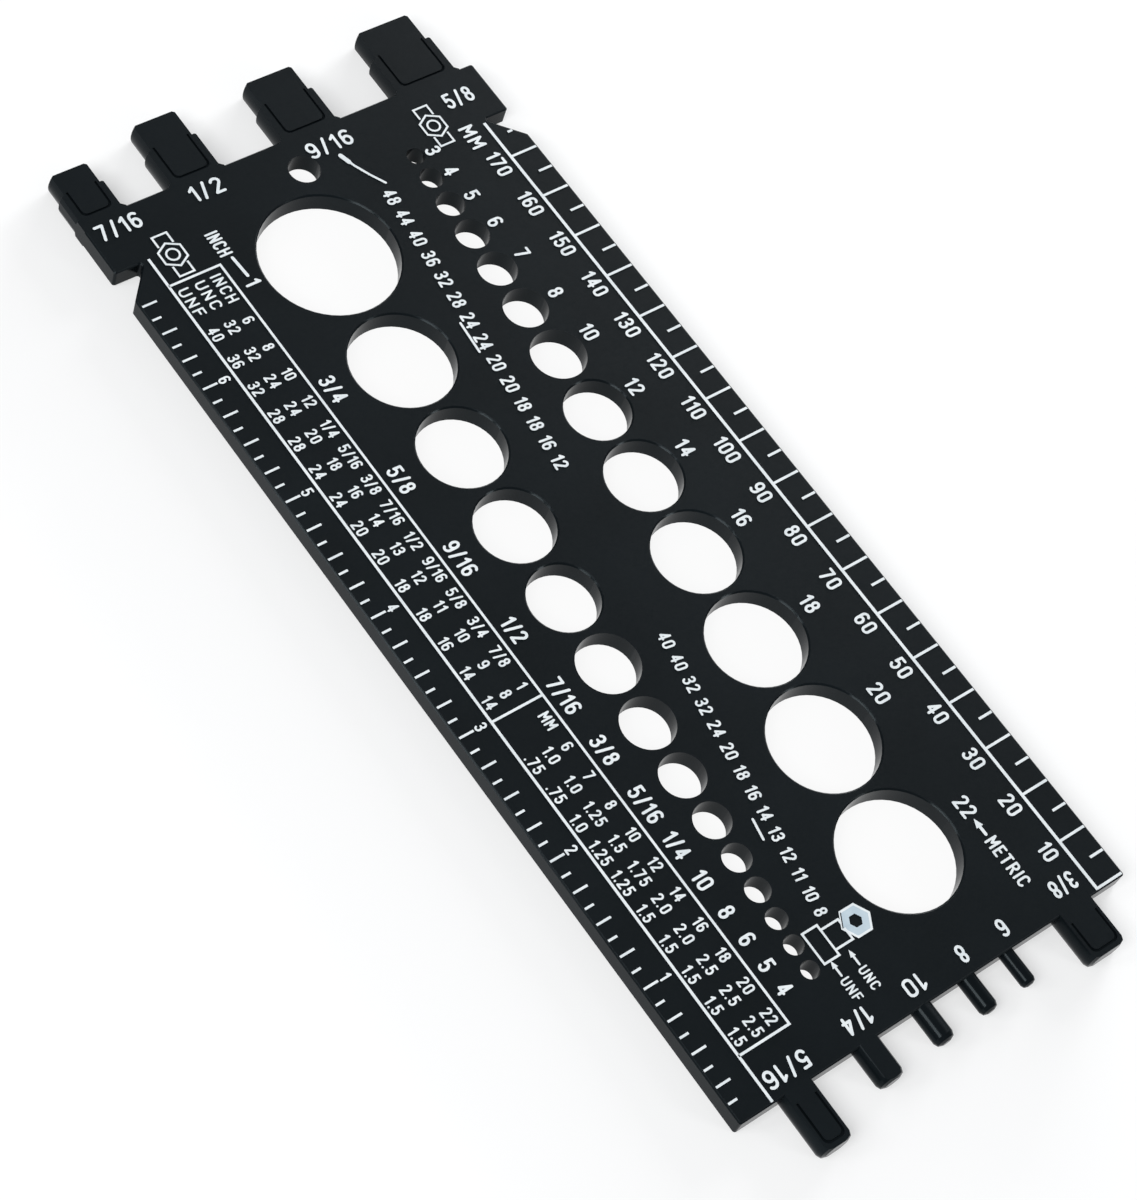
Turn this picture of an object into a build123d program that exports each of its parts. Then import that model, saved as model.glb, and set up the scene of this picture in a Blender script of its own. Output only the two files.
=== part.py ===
from build123d import *
import math
import os

# Thread checker: one black plastic moulding. A flat plate carries a row of
# inch holes and a row of metric holes for bolts, stepped posts on both ends
# for nuts, and a ruler along each side. Millimetres throughout.
#
# Frame: origin at the centre of the bounding box on the underside, +Y along
# the plate towards the four large posts, +Z out of the printed face.

os.makedirs("parts", exist_ok=True)

INCH = 25.4

# Plate
PLATE_WIDTH = 85.4
PLATE_LENGTH = 191.8
PLATE_THICKNESS = 3.9
EDGE_BREAK = 0.3          # small bevel along the outline, both faces
CORNER_RADIUS = 0.5       # rounding of the outline's corners, seen from above

# Notch in each side, under the hooked corner beside the large posts
NOTCH_FACE_FROM_END = 11.8
NOTCH_DEPTH = 5.8
NOTCH_SLOPE_LENGTH = 6.4

# Holes. Sizes are the bolts' nominal diameters.
INCH_BOLTS = [0.112, 0.125, 0.138, 0.164, 0.190, 1 / 4, 5 / 16, 3 / 8, 7 / 16,
              1 / 2, 9 / 16, 5 / 8, 3 / 4, 1]
METRIC_BOLTS = [22, 20, 18, 16, 14, 12, 10, 8, 7, 6, 5, 4, 3]
HOLE_CLEARANCE = 0.5
RIM_BEVEL = 0.3           # round a large hole, on the printed face
RIM_BEVEL_FROM = 12.0     # a hole narrower than this has none

# A row starts at its hole nearest the six small posts. Its centres lie on a
# gentle arc: x = x_start + lean * rise - bend * rise ** 2. The strip of
# plastic left between two neighbours is a little wider between large holes.
INCH_ROW = {"x": 19.5, "y": 14.6, "lean": 0.0815, "bend": 1.1e-4,
            "web": 1.13, "web_growth": 0.034}
METRIC_ROW = {"x": 46.5, "y": 23.4, "lean": 0.0875, "bend": 1.6e-4,
              "web": 1.37, "web_growth": 0.0}

HANG_HOLE_DIAMETER = 6.0
HANG_HOLE_X = 35.9
HANG_HOLE_FROM_END = 7.1

# The x sizes above and below are measured from the line printed along the
# left ruler, which stands this far in from the plate's left edge.
RULER_STRIP = 6.8

# Posts. Each is a round bar on the plate's middle plane, cut flat by both
# faces of the plate, and as thick as the bore of a nut with a coarse thread:
# the nominal diameter less this share of the pitch.
THREAD_DEPTH_SHARE = 0.95
POST_ROOT_OVERLAP = 2.0   # how far a post's bar runs into the plate

# nominal inch, threads per inch, x, length
LARGE_POSTS = [
    (7 / 16, 14, -2.2, 10.9),
    (1 / 2, 13, 17.5, 14.2),
    (9 / 16, 12, 41.9, 13.9),
    (5 / 8, 11, 68.3, 15.0),
]
SMALL_POSTS = [
    (5 / 16, 18, 5.2, 10.9),
    (1 / 4, 20, 20.2, 7.2),
    (0.190, 24, 32.5, 6.7),
    (0.164, 32, 42.6, 6.5),
    (0.138, 32, 51.6, 6.4),
    (3 / 8, 16, 66.9, 9.2),
]

# The four large posts step down to a thinner tip that leads the nut on.
LARGE_ROOT_FLARE = 0.7    # slope between a large post and the plate's end
TIP_SHARE = 0.87          # of the post's diameter
FULL_SHARE = 0.58         # of the post's length, from the plate to the step
LARGE_TIP_BEVEL = 0.4
STEP_BEVEL = 0.25

# The six small posts are plain bars with a rounded tip.
SMALL_TIP_ROUND = 1.1
SMALL_TIP_ROUND_SHARE = 0.6  # of the post's radius, where that is less
SMALL_TIP_BEVELS = 2      # straight bevels that stand for the rounding

# Groove on the wide posts, on the printed side, shaped like a U. On a large
# post its round end is at the plate, on a small post it is at the tip.
GROOVE_MIN_FLAT = 4.0     # narrower flats have none
GROOVE_MARGIN = 0.5       # from the tip's flat edge to the groove
GROOVE_PAST_STEP = 1.6
GROOVE_OFF_PLATE = 0.8
GROOVE_OFF_TIP = 0.9
GROOVE_CORNER = 1.2
GROOVE_CORNER_SHARE = 0.6  # of the groove's half width, where that is less
GROOVE_WIDTH = 0.45
GROOVE_DEPTH = 0.35

# Derived
LONGEST_LARGE = max(post[3] for post in LARGE_POSTS)
LONGEST_SMALL = max(post[3] for post in SMALL_POSTS)
HALF_WIDTH = PLATE_WIDTH / 2
END_LOW = -(PLATE_LENGTH + LONGEST_LARGE + LONGEST_SMALL) / 2 + LONGEST_SMALL
END_HIGH = END_LOW + PLATE_LENGTH
MID_Z = PLATE_THICKNESS / 2


def from_ruler_line(x):
    """Turn an x measured from the left ruler's line into the part's own x."""
    return x + RULER_STRIP - HALF_WIDTH


def flat_half_width(diameter):
    """Half the width of the flat that the plate's face cuts on a bar."""
    radius = diameter / 2
    if radius <= MID_Z:
        return 0.0
    return math.sqrt(radius ** 2 - MID_Z ** 2)


def plate_outline():
    """The plate seen from above, with the notch in each side."""
    face_y = END_HIGH - NOTCH_FACE_FROM_END
    slope_y = face_y - NOTCH_SLOPE_LENGTH
    right_side = [
        (HALF_WIDTH, END_LOW),
        (HALF_WIDTH, slope_y),
        (HALF_WIDTH - NOTCH_DEPTH, face_y),
        (HALF_WIDTH, face_y),
        (HALF_WIDTH, END_HIGH),
    ]
    left_side = [(-x, y) for x, y in reversed(right_side)]
    return right_side + left_side


def make_blank():
    """The plate before holes and posts."""
    with BuildPart() as blank:
        with BuildSketch(Plane.XY):
            Polygon(*plate_outline(), align=None)
        extrude(amount=PLATE_THICKNESS)
        fillet(blank.edges().filter_by(Axis.Z), CORNER_RADIUS)
        rims = blank.edges().filter_by(Axis.Z, reverse=True)
        chamfer(rims, EDGE_BREAK)
    return blank.part


def hole_row(bolts, row):
    """Centres and diameters of one row: list of (x, y, hole diameter)."""
    holes = []
    y = row["y"]
    diameters = [bolt + HOLE_CLEARANCE for bolt in bolts]
    for number, diameter in enumerate(diameters):
        if number > 0:
            reach = (diameters[number - 1] + diameter) / 2
            y += reach + row["web"] + row["web_growth"] * reach
        rise = y - row["y"]
        x = row["x"] + row["lean"] * rise - row["bend"] * rise ** 2
        holes.append((from_ruler_line(x), END_LOW + y, diameter))
    return holes


def make_hole(x, y, diameter):
    """A cutter for a through hole; a large one has a bevelled upper rim."""
    past = 1.0
    radius = diameter / 2
    profile = [(0, -past), (radius, -past)]
    if diameter < RIM_BEVEL_FROM:
        profile += [(radius, PLATE_THICKNESS + past)]
    else:
        profile += [
            (radius, PLATE_THICKNESS - RIM_BEVEL),
            (radius + RIM_BEVEL + past, PLATE_THICKNESS + past),
        ]
    profile += [(0, PLATE_THICKNESS + past)]
    with BuildPart() as cutter:
        with BuildSketch(Plane.XZ):
            Polygon(*profile, align=None)
        revolve(axis=Axis.Z)
    return cutter.part.moved(Location((x, y, 0)))


def post_diameter(nominal, threads):
    """Diameter of a post for a nut of this size, in millimetres."""
    return INCH * (nominal - THREAD_DEPTH_SHARE / threads)


def large_post_side(radius, length):
    """Half profile of a large post, its axis along the sketch's y."""
    flared = radius + LARGE_ROOT_FLARE
    step = length * FULL_SHARE
    tip_radius = radius * TIP_SHARE
    return [
        (flared, -POST_ROOT_OVERLAP),
        (flared, 0),
        (radius, LARGE_ROOT_FLARE),
        (radius, step - STEP_BEVEL),
        (radius - STEP_BEVEL, step),
        (tip_radius, step),
        (tip_radius, length - LARGE_TIP_BEVEL),
        (tip_radius - LARGE_TIP_BEVEL, length),
    ]


def small_post_side(radius, length):
    """Half profile of a small post, its axis along the sketch's y."""
    tip_round = min(SMALL_TIP_ROUND, SMALL_TIP_ROUND_SHARE * radius)
    middle = (radius - tip_round, length - tip_round)
    side = [(radius, -POST_ROOT_OVERLAP)]
    for number in range(SMALL_TIP_BEVELS + 1):
        angle = math.radians(90 * number / SMALL_TIP_BEVELS)
        side.append((middle[0] + tip_round * math.cos(angle),
                     middle[1] + tip_round * math.sin(angle)))
    return side


def make_post(diameter, x, length, end_y, out):
    """A post standing out from an end of the plate.

    out is +1 for the end with the large posts and -1 for the other end.
    """
    radius = diameter / 2
    side = large_post_side(radius, length) if out > 0 else small_post_side(radius, length)
    with BuildPart() as bar:
        with BuildSketch(Plane.XY):
            Polygon((0, -POST_ROOT_OVERLAP), *side, (0, length), align=None)
        revolve(axis=Axis.Y)
    turn = 0 if out > 0 else 180
    place = Location((from_ruler_line(x), end_y, MID_Z), (0, 0, turn))
    slab = Box(PLATE_WIDTH, 2 * PLATE_LENGTH, PLATE_THICKNESS,
               align=(Align.CENTER, Align.CENTER, Align.MIN))
    return bar.part.moved(place) & slab


def make_u_groove(half_width, x, round_y, open_y):
    """A cutter for the U-shaped groove on a post.

    The U's round end is at round_y and its arms run out at open_y.
    """
    width = 2 * half_width
    length = abs(open_y - round_y)
    middle_x = from_ruler_line(x)
    middle_y = (round_y + open_y) / 2
    toward_open = 1 if open_y > round_y else -1
    corner = min(GROOVE_CORNER, half_width * GROOVE_CORNER_SHARE)
    inner_y = middle_y + toward_open * GROOVE_WIDTH
    with BuildPart() as cutter:
        with BuildSketch(Plane.XY.offset(PLATE_THICKNESS - GROOVE_DEPTH)):
            with Locations((middle_x, middle_y)):
                RectangleRounded(width, length, corner)
            with Locations((middle_x, inner_y)):
                RectangleRounded(width - 2 * GROOVE_WIDTH, length,
                                 corner - GROOVE_WIDTH / 2, mode=Mode.SUBTRACT)
            with Locations((middle_x, open_y)):
                Rectangle(width, 2 * corner, mode=Mode.SUBTRACT)
        extrude(amount=GROOVE_DEPTH)
    return cutter.part


plate = make_blank()

cutters = []
for posts, end_y, out in ((LARGE_POSTS, END_HIGH, 1), (SMALL_POSTS, END_LOW, -1)):
    for nominal, threads, x, length in posts:
        diameter = post_diameter(nominal, threads)
        plate += make_post(diameter, x, length, end_y, out)
        if out > 0:
            flat = flat_half_width(diameter * TIP_SHARE)
            round_y = END_HIGH + GROOVE_OFF_PLATE
            open_y = END_HIGH + length * FULL_SHARE + GROOVE_PAST_STEP
        else:
            flat = flat_half_width(diameter)
            round_y = END_LOW - length + GROOVE_OFF_TIP
            open_y = END_LOW - GROOVE_OFF_PLATE
        if 2 * flat >= GROOVE_MIN_FLAT:
            cutters.append(make_u_groove(flat - GROOVE_MARGIN, x, round_y, open_y))

for bolts, row in ((INCH_BOLTS, INCH_ROW), (METRIC_BOLTS, METRIC_ROW)):
    unit = INCH if bolts is INCH_BOLTS else 1.0
    for x, y, diameter in hole_row([size * unit for size in bolts], row):
        cutters.append(make_hole(x, y, diameter))

hang_x = from_ruler_line(HANG_HOLE_X)
cutters.append(make_hole(hang_x, END_HIGH - HANG_HOLE_FROM_END, HANG_HOLE_DIAMETER))

plate = plate.cut(*cutters)

solid = plate.solids()[0]
solid.label = "gauge_plate"
export_step(solid, "parts/gauge_plate.step")

box = solid.bounding_box()
print("solids", len(plate.solids()), "valid", solid.is_valid)
print("min", box.min, "max", box.max, "volume", round(solid.volume))
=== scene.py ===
"""Looks of the thread checker: black moulded plastic with white print on its upper face.

The print is laid out in ruler millimetres: x from the line beside the inch ruler, y from the zero
of both rulers. PrintFrame turns them into the part's own frame, in metres.
"""

import logging
import math
from abc import ABC, abstractmethod
from dataclasses import dataclass, field
from enum import Enum
from typing import ClassVar

import bpy
import numpy as np
from mathutils import Matrix, Vector


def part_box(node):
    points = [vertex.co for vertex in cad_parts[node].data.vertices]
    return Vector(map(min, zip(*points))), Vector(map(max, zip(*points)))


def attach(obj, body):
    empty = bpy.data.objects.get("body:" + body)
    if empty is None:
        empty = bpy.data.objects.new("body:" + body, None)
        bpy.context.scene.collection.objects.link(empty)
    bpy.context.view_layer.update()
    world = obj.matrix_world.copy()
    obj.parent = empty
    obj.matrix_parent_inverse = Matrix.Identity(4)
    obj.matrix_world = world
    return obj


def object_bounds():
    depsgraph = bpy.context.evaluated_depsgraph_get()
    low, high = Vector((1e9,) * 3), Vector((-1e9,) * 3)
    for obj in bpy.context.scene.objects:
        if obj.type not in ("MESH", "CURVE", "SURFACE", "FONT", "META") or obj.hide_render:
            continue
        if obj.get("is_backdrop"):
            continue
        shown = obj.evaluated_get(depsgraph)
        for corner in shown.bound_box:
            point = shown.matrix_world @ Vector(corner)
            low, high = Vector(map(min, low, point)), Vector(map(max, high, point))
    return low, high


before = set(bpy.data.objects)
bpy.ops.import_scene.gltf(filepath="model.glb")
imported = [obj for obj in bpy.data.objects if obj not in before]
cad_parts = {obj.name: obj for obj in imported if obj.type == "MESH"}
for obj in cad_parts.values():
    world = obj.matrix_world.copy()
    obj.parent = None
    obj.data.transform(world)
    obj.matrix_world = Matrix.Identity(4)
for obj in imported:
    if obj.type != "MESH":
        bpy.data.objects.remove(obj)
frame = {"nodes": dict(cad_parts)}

LOG = logging.getLogger("thread_checker")
MM = 0.001
INCH = 25.4
PLATE = "gauge_plate"
BODY = "root"

ARC_STEP = 22.5  # degrees between two points on a round stroke
MITRE_LIMIT = 0.6  # least cosine of half a corner's turn, so a sharp corner's mitre stays short
END_SECTIONS = (80, 45)  # degrees round a stroke's end where its last two sections stand
NUT_SIDES = 6
NOISE_LOW, NOISE_HIGH = 0.3, 0.7  # most of a noise texture's values lie between them

Point = tuple[float, float]
Span = tuple[float, float]
Place = tuple[float, float, float]
Colour = tuple[float, float, float]
Form = tuple[np.ndarray, list[list[int]]]  # the vertices and the faces of one closed form
Tree = bpy.types.NodeTree
Socket = bpy.types.NodeSocket


class Reading(Enum):
    """Which way a text runs, as the angle of its line in degrees from the ruler's x."""

    UPRIGHT = 0.0
    DOWN = -90.0
    INVERTED = 180.0


class End(Enum):
    """How a ribbon ends."""

    ROUND = "round"
    SQUARE = "square"


class Slot(Enum):
    """The material slots."""

    PLASTIC = "black_plastic"
    PRINT = "white_print"


def arc(cx: float, cy: float, rx: float, ry: float, start: float, end: float) -> np.ndarray:
    """Points on part of an ellipse: the centre plus (rx cos t, ry sin t).

    Args:
        cx, cy: the centre.
        rx, ry: the two radii.
        start, end: the first and last t, in degrees.

    Returns:
        An array of (x, y) rows.
    """
    steps = max(2, math.ceil(abs(end - start) / ARC_STEP))
    t = np.radians(np.linspace(start, end, steps + 1))
    return np.stack([cx + rx * np.cos(t), cy + ry * np.sin(t)], axis=1)


def polygon(cx: float, cy: float, radius: float, sides: int, start: float = 0.0) -> np.ndarray:
    """The corners of a regular polygon, counter-clockwise: the centre plus radius (cos t, sin t).

    Args:
        cx, cy: the centre.
        radius: from the centre to a corner.
        sides: how many corners there are.
        start: the first corner's t, in degrees.

    Returns:
        An array of (x, y) rows.
    """
    t = math.radians(start) + np.arange(sides) * 2 * math.pi / sides
    return np.stack([cx + radius * np.cos(t), cy + radius * np.sin(t)], axis=1)


def path(*parts: tuple | np.ndarray) -> np.ndarray:
    """Join points and arcs, in order, into one array of (x, y) rows."""
    return np.concatenate([np.atleast_2d(np.asarray(part, float)) for part in parts])


@dataclass(frozen=True)
class Stroke:
    """One stroke of a pen.

    Attributes:
        points: (x, y) rows along the middle of the stroke.
        closed: whether the last point joins the first.
    """

    points: np.ndarray
    closed: bool = False


def line(*parts: tuple | np.ndarray) -> Stroke:
    """An open stroke along points and arcs."""
    return Stroke(path(*parts))


def ring(cx: float, cy: float, rx: float, ry: float) -> Stroke:
    """A closed stroke round an ellipse."""
    return Stroke(arc(cx, cy, rx, ry, 0, 360)[:-1], closed=True)


@dataclass(frozen=True)
class Glyph:
    """One character: its width in grid units and its strokes."""

    width: float
    strokes: tuple[Stroke, ...]


GRID_HEIGHT = 10.0


def draw_glyphs() -> dict[str, Glyph]:
    """Draw the characters on a grid ten units high.

    Strokes that meet at a sharp corner are separate, so their round ends make the corner.

    Returns:
        A glyph for each character.
    """
    stem = line((0, 0), (0, 10))
    return {
        " ": Glyph(2.0, ()),
        ".": Glyph(0.0, (line((0, 0), (0, 0.3)),)),
        "/": Glyph(2.5, (line((0, -0.5), (2.5, 10.5)),)),
        "0": Glyph(4.2, (
            Stroke(path(arc(2.1, 7.8, 2.1, 2.2, 0, 180), arc(2.1, 2.2, 2.1, 2.2, 180, 360)), closed=True),
        )),
        "1": Glyph(2.0, (line((0, 7.8), (2, 10)), line((2, 10), (2, 0)))),
        "2": Glyph(4.2, (line(arc(2.1, 7.7, 2.1, 2.3, 165, -35), (0, 0)), line((0, 0), (4.2, 0)))),
        "3": Glyph(4.2, (
            line(arc(2.1, 7.65, 2.0, 2.35, 155, -90), (1.4, 5.3)),
            line(arc(2, 2.65, 2.2, 2.65, 90, -155)),
        )),
        "4": Glyph(4.4, (
            line((3.2, 0), (3.2, 10)),
            line((3.2, 10), (0, 2.7)),
            line((0, 2.7), (4.4, 2.7)),
        )),
        "5": Glyph(4.2, (
            line((4, 10), (0.6, 10)),
            line((0.6, 10), (0.3, 5.3)),
            line((0.3, 5.3), arc(2, 3.1, 2.2, 3.1, 110, -155)),
        )),
        "6": Glyph(4.2, (
            ring(2.1, 2.9, 2.1, 2.9),
            line(arc(2.3, 7.4, 2.3, 2.6, 40, 180), (0, 2.9)),
        )),
        "7": Glyph(4.2, (line((0, 10), (4.2, 10)), line((4.2, 10), (1.5, 0)))),
        "8": Glyph(4.2, (ring(2.1, 7.65, 1.85, 2.35), ring(2.1, 2.75, 2.1, 2.75))),
        "9": Glyph(4.2, (
            ring(2.1, 7.1, 2.1, 2.9),
            line(arc(1.9, 2.6, 2.3, 2.6, -140, 0), (4.2, 7.1)),
        )),
        "C": Glyph(4.4, (line(arc(2.2, 7.4, 2.2, 2.6, 20, 180), arc(2.2, 2.6, 2.2, 2.6, 180, 340)),)),
        "E": Glyph(3.8, (
            stem,
            line((0, 10), (3.8, 10)),
            line((0, 5.2), (3.2, 5.2)),
            line((0, 0), (3.8, 0)),
        )),
        "F": Glyph(3.8, (stem, line((0, 10), (3.8, 10)), line((0, 5.2), (3.2, 5.2)))),
        "H": Glyph(4.4, (stem, line((4.4, 0), (4.4, 10)), line((0, 5.1), (4.4, 5.1)))),
        "I": Glyph(0.0, (stem,)),
        "M": Glyph(5.4, (
            stem,
            line((0, 10), (2.7, 4)),
            line((2.7, 4), (5.4, 10)),
            line((5.4, 10), (5.4, 0)),
        )),
        "N": Glyph(4.4, (stem, line((0, 10), (4.4, 0)), line((4.4, 0), (4.4, 10)))),
        "R": Glyph(4.4, (
            stem,
            line((0, 10), arc(2, 7.6, 2.2, 2.4, 90, -90), (0, 5.2)),
            line((2, 5.2), (4.4, 0)),
        )),
        "T": Glyph(4.4, (line((0, 10), (4.4, 10)), line((2.2, 10), (2.2, 0)))),
        "U": Glyph(4.4, (line((0, 10), arc(2.2, 2.6, 2.2, 2.6, 180, 360), (4.4, 10)),)),
    }


GLYPHS = draw_glyphs()


@dataclass
class MeshParts:
    """Vertices and faces gathered from several closed forms, to become one mesh."""

    verts: list[np.ndarray] = field(default_factory=list)
    faces: list[list[int]] = field(default_factory=list)
    count: int = 0

    def add(self, verts: np.ndarray, faces: list[list[int]]) -> None:
        """Add one closed form.

        Args:
            verts: (x, y, z) rows.
            faces: the corners of each face, as rows of verts.
        """
        self.verts.append(verts)
        self.faces += [[corner + self.count for corner in face] for face in faces]
        self.count += len(verts)

    def to_object(self, name: str, material: bpy.types.Material) -> bpy.types.Object:
        """Make the object, with its place in its mesh.

        Args:
            name: the piece's name.
            material: its finish.

        Returns:
            The new object, linked to the scene.
        """
        mesh = bpy.data.meshes.new(name)
        mesh.from_pydata(np.concatenate(self.verts).tolist(), [], self.faces)
        mesh.materials.append(material)
        mesh.validate()
        piece = bpy.data.objects.new(name, mesh)
        bpy.context.scene.collection.objects.link(piece)
        return piece


def unit(vectors: np.ndarray) -> np.ndarray:
    """Each row divided by its length."""
    return vectors / np.linalg.norm(vectors, axis=1, keepdims=True)


def steps_at(stroke: Stroke) -> tuple[np.ndarray, np.ndarray]:
    """The unit steps at each point of a stroke: the difference of neighbours over its length.

    Args:
        stroke: the line to follow.

    Returns:
        The steps that leave the points and the steps that reach them. At an open stroke's two ends
        they are the same.
    """
    if stroke.closed:
        ahead = unit(np.roll(stroke.points, -1, axis=0) - stroke.points)
        return ahead, np.roll(ahead, 1, axis=0)
    steps = unit(np.diff(stroke.points, axis=0))
    return np.concatenate([steps, steps[-1:]]), np.concatenate([steps[:1], steps])


def strip_faces(count: int, closed: bool) -> list[list[int]]:
    """The faces of a strip of four-cornered sections, where corner k of section i is vertex 4 i + k.

    Args:
        count: how many sections there are.
        closed: whether the last section joins the first. An open strip gets a cap at each end.

    Returns:
        The corners of each face.
    """
    here = np.arange(count if closed else count - 1)[:, None]
    after = (here + 1) % count
    k = np.arange(4)
    turn = (k + 1) % 4
    quads = np.stack([here * 4 + k, here * 4 + turn, after * 4 + turn, after * 4 + k], axis=2)
    faces = quads.reshape(-1, 4).tolist()
    if not closed:
        tail = 4 * (count - 1)
        faces += [[3, 2, 1, 0], [tail, tail + 1, tail + 2, tail + 3]]
    return faces


def ribbon(stroke: Stroke, half: float, bottom: float, top: float, end: End) -> Form:
    """A flat closed strip of one width along a stroke.

    Each point carries a cross-section of four corners: left and right, at the bottom and the top.
    The side step is the half width over the cosine of half the turn, which mitres a corner. Past a
    round end the section moves on by half sin t and narrows to half cos t.

    Args:
        stroke: the line to follow, in metres.
        half: half the width.
        bottom, top: the heights of the two faces.
        end: how an open stroke ends.

    Returns:
        The vertices and the faces, which point outwards.
    """
    middle = stroke.points
    ahead, behind = steps_at(stroke)
    along = unit(ahead + behind)
    reach = half / np.maximum((along * ahead).sum(axis=1), MITRE_LIMIT)
    if not stroke.closed and end is End.ROUND:
        t = np.radians(END_SECTIONS)[:, None]
        first = middle[0] - along[0] * half * np.sin(t)
        last = middle[-1] + along[-1] * half * np.sin(t[::-1])
        shrink = half * np.cos(t[:, 0])
        middle = np.concatenate([first, middle, last])
        along = np.concatenate([along[[0, 0]], along, along[[-1, -1]]])
        reach = np.concatenate([shrink, reach, shrink[::-1]])
    side = np.stack([-along[:, 1], along[:, 0]], axis=1) * reach[:, None]
    left, right = middle + side, middle - side
    low, high = np.full((len(middle), 1), bottom), np.full((len(middle), 1), top)
    corners = [np.hstack(pair) for pair in ((left, low), (left, high), (right, high), (right, low))]
    return np.stack(corners, axis=1).reshape(-1, 3), strip_faces(len(middle), stroke.closed)


def slab(outline: np.ndarray, bottom: float, top: float) -> Form:
    """A closed prism on an outline that runs counter-clockwise: its points at two heights.

    Args:
        outline: (x, y) rows, in metres.
        bottom, top: the heights of the two faces.

    Returns:
        The vertices and the faces, which point outwards.
    """
    count = len(outline)
    low, high = np.full((count, 1), bottom), np.full((count, 1), top)
    verts = np.concatenate([np.hstack([outline, low]), np.hstack([outline, high])])
    here = np.arange(count)
    after = (here + 1) % count
    sides = np.stack([here, after, after + count, here + count], axis=1).tolist()
    return verts, [here[::-1].tolist(), (here + count).tolist(), *sides]


@dataclass(frozen=True)
class PrintFrame:
    """Where the print lies on the plate.

    Attributes:
        line_x: the inch ruler's line, in the part's x, in metres.
        zero_y: the zero of both rulers, in the part's y.
        face_z: the printed face.
        width: the plate's width in millimetres.
        length: the plate's length without its posts, in millimetres.
    """

    line_x: float
    zero_y: float
    face_z: float
    width: float
    length: float

    STRIP: ClassVar[float] = 6.8  # from the plate's left edge to the inch ruler's line
    LOW_POSTS: ClassVar[float] = 10.9  # the longest small post
    HIGH_POSTS: ClassVar[float] = 15.0  # the longest large post
    ZERO: ClassVar[float] = 0.5  # from the plate's end to the rulers' zero
    NOTCH_DEPTH: ClassVar[float] = 5.8
    NOTCH_SLOPE: ClassVar[float] = 6.4  # its length along the plate
    NOTCH_FACE: ClassVar[float] = 11.8  # from the plate's other end to the notch's square face

    @classmethod
    def on_plate(cls) -> "PrintFrame":
        """Read the plate's place from the CAD frame.

        Returns:
            The print's frame on it.
        """
        low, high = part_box(PLATE)
        length = (high.y - low.y) / MM - cls.LOW_POSTS - cls.HIGH_POSTS
        zero = low.y + (cls.LOW_POSTS + cls.ZERO) * MM
        return cls(low.x + cls.STRIP * MM, zero, high.z, (high.x - low.x) / MM, length)

    def place(self, points: np.ndarray) -> np.ndarray:
        """Turn ruler millimetres into the part's metres."""
        return points * MM + np.array([self.line_x, self.zero_y])

    def notch_at(self, y: float) -> float:
        """How far the notch's slope cuts into the plate's edge at y, in millimetres."""
        start = self.length - self.ZERO - self.NOTCH_FACE - self.NOTCH_SLOPE
        return self.NOTCH_DEPTH * min(max((y - start) / self.NOTCH_SLOPE, 0.0), 1.0)

    @property
    def left(self) -> float:
        """The plate's left edge, in ruler millimetres."""
        return -self.STRIP

    @property
    def right(self) -> float:
        """The plate's right edge, in ruler millimetres."""
        return self.width - self.STRIP


@dataclass(frozen=True)
class Label:
    """A text's place.

    Attributes:
        words: its characters.
        x, y: its centre, in ruler millimetres.
        length: what the line is squeezed or stretched to, if it isn't as long as it comes.
    """

    words: str
    x: float
    y: float
    length: float | None = None


@dataclass(frozen=True)
class Arrow:
    """An arrow that points up the rulers, by the y of its parts in ruler millimetres.

    Attributes:
        foot, neck: the two ends of its shaft.
        base, tip: the two ends of its head.
        half: half the head's width.
        width: the shaft's width.
    """

    foot: float
    neck: float
    base: float
    tip: float
    half: float
    width: float


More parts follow.
